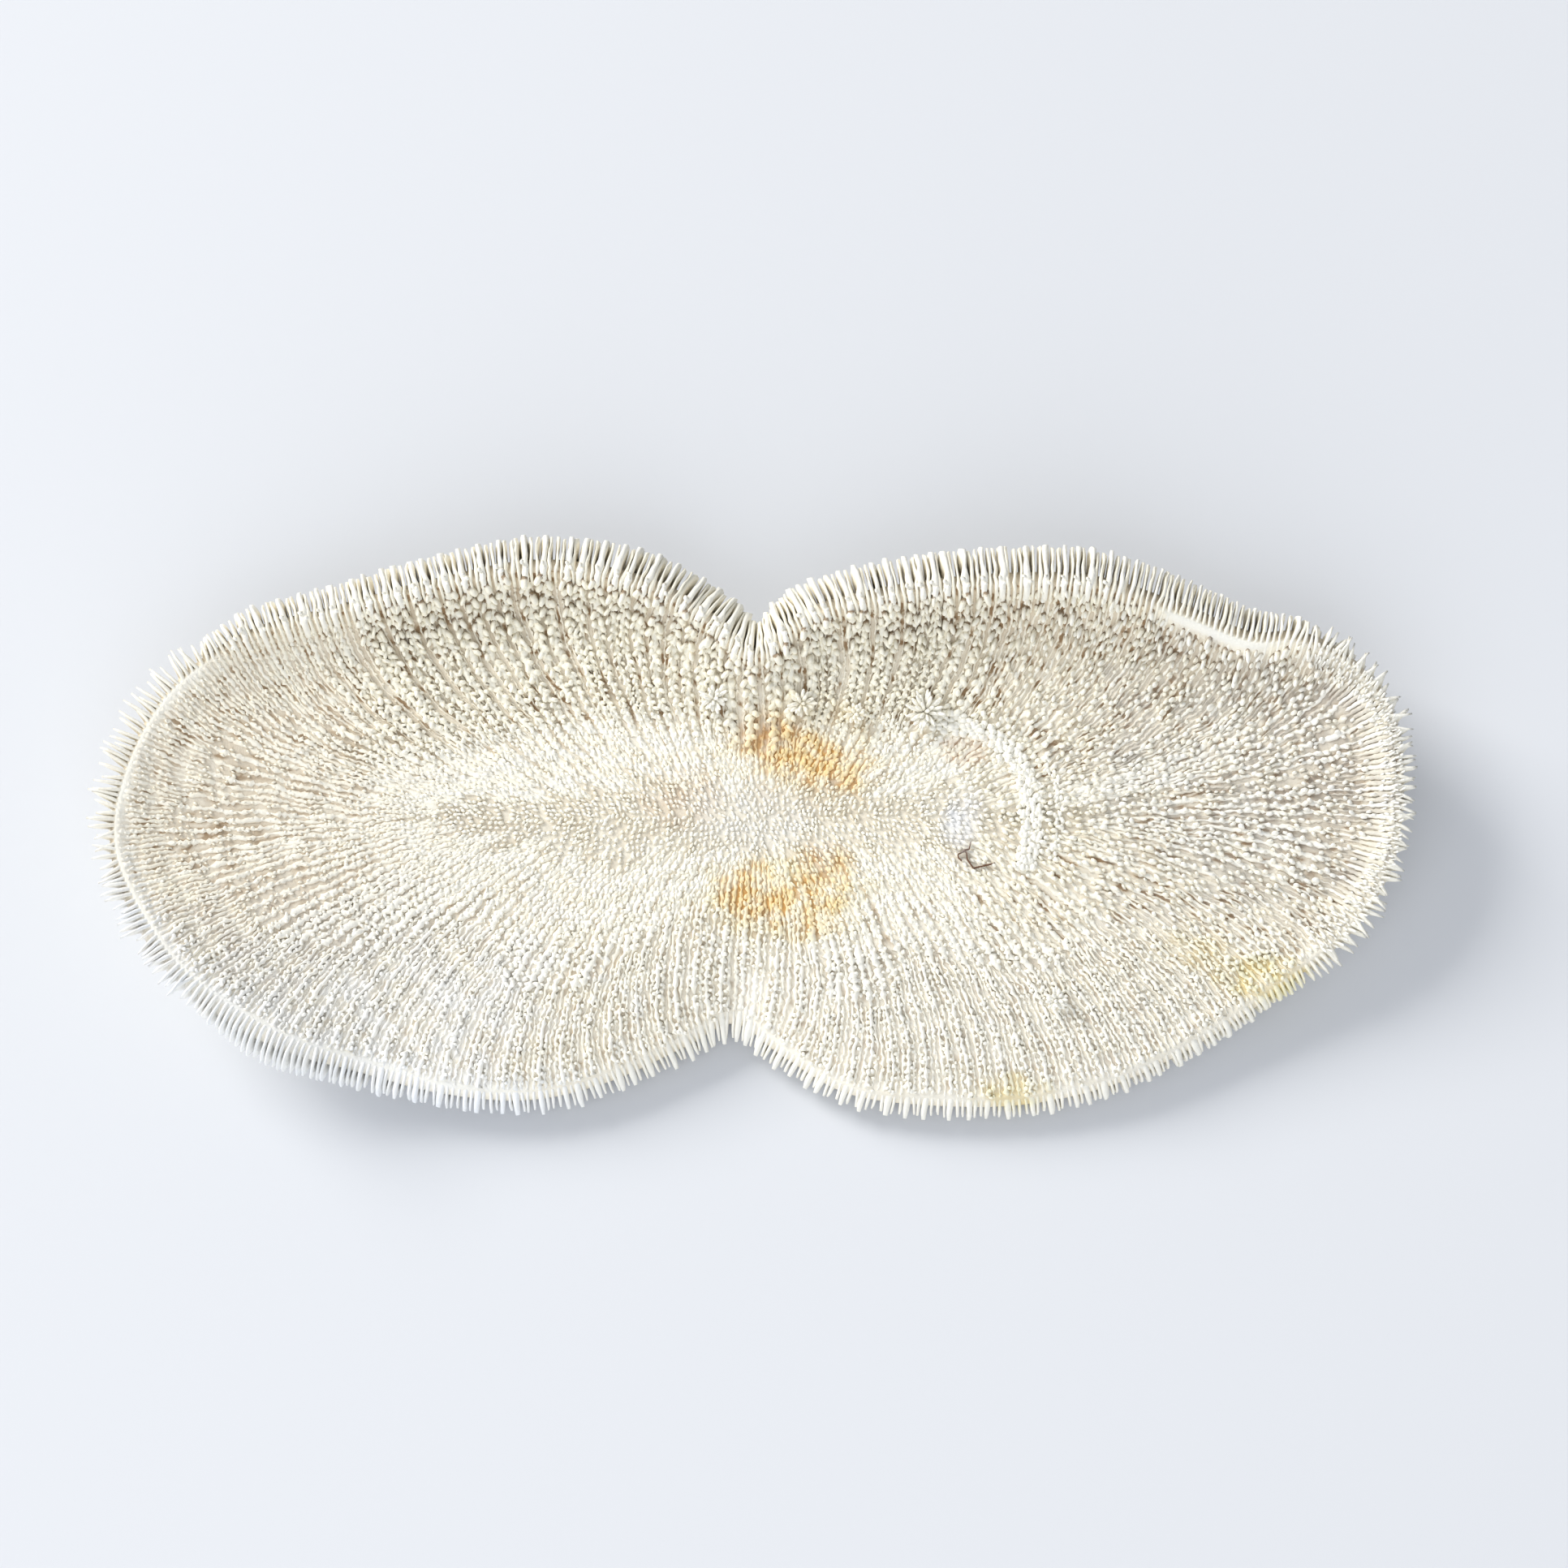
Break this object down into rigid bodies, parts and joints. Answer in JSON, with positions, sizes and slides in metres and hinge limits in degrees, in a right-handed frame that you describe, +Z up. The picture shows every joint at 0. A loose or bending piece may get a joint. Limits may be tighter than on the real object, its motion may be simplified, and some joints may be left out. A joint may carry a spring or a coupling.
{
  "type": "mushroom coral skeleton",
  "caption": "Bleached skeleton of a long, two-lobed mushroom coral, lying on its bladed mouth side with the spiny ribbed underside up and a fringe of blades round the rim.",
  "frame": {"origin": "middle of the coral's footprint, on the surface that it lies on", "axes": "+X along its length, +Y towards the side whose rim curls up most, +Z up through the ribbed underside"},
  "size_m": [0.2284, 0.1006, 0.0261],
  "materials": {
    "coral": "matt"
  },
  "bodies": {
    "root": {"coral_skeleton": "coral"}
  },
  "joints": []
}
